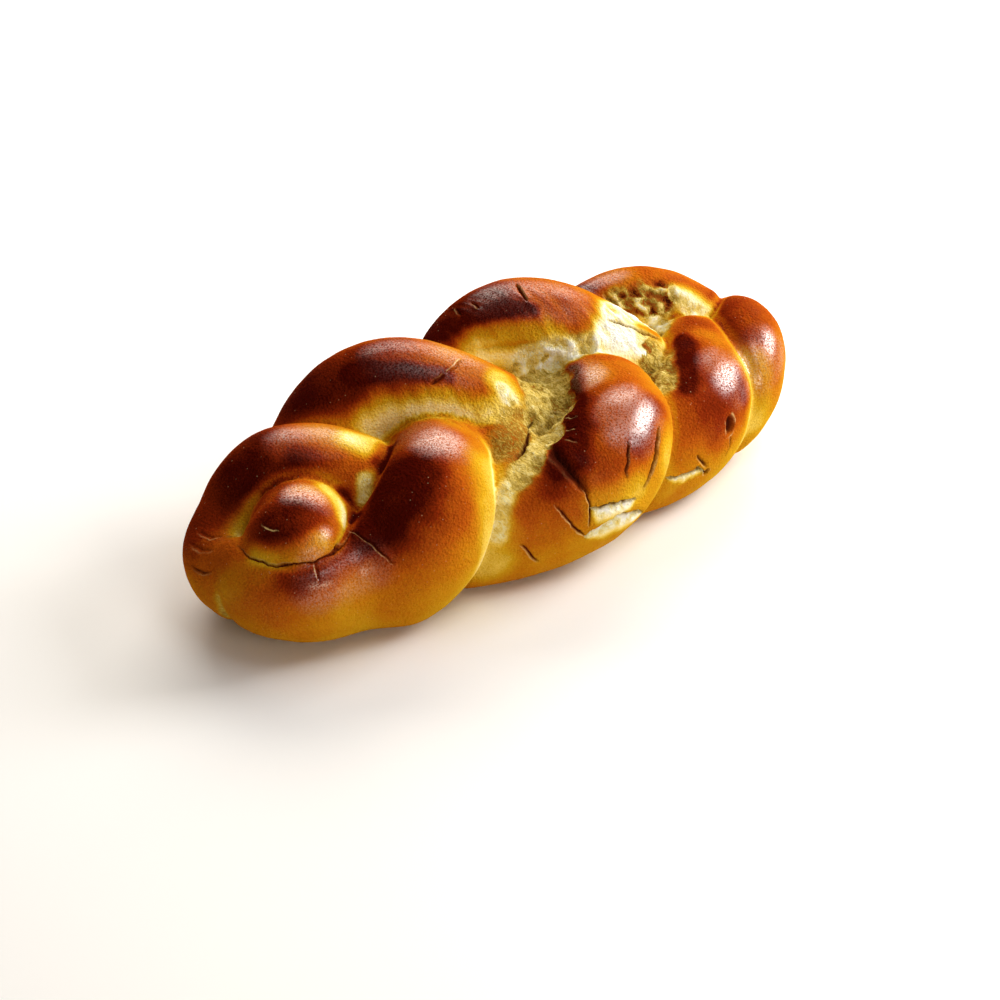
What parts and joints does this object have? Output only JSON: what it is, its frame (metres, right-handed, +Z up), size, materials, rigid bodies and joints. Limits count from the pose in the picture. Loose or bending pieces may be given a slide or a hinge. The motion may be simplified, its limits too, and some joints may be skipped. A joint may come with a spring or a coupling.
{
  "type": "braided loaf",
  "caption": "Plaited egg-washed loaf of bread: strands of dough braided and risen together, pinched at one end and domed at the other, on a flat baked base.",
  "frame": {"origin": "On the flat underside, in the middle of the loaf's box", "axes": "X runs along the loaf with its domed end at +X and its pinched end at -X, Y across it, +Z up"},
  "size_m": [0.3004, 0.1316, 0.0804],
  "materials": {
    "crust": "egg-washed baked crust, mahogany on the lobes, golden on the flanks, pale torn crumb between them, with a soft shine"
  },
  "bodies": {
    "root": {"braided_loaf": "crust"}
  },
  "joints": []
}
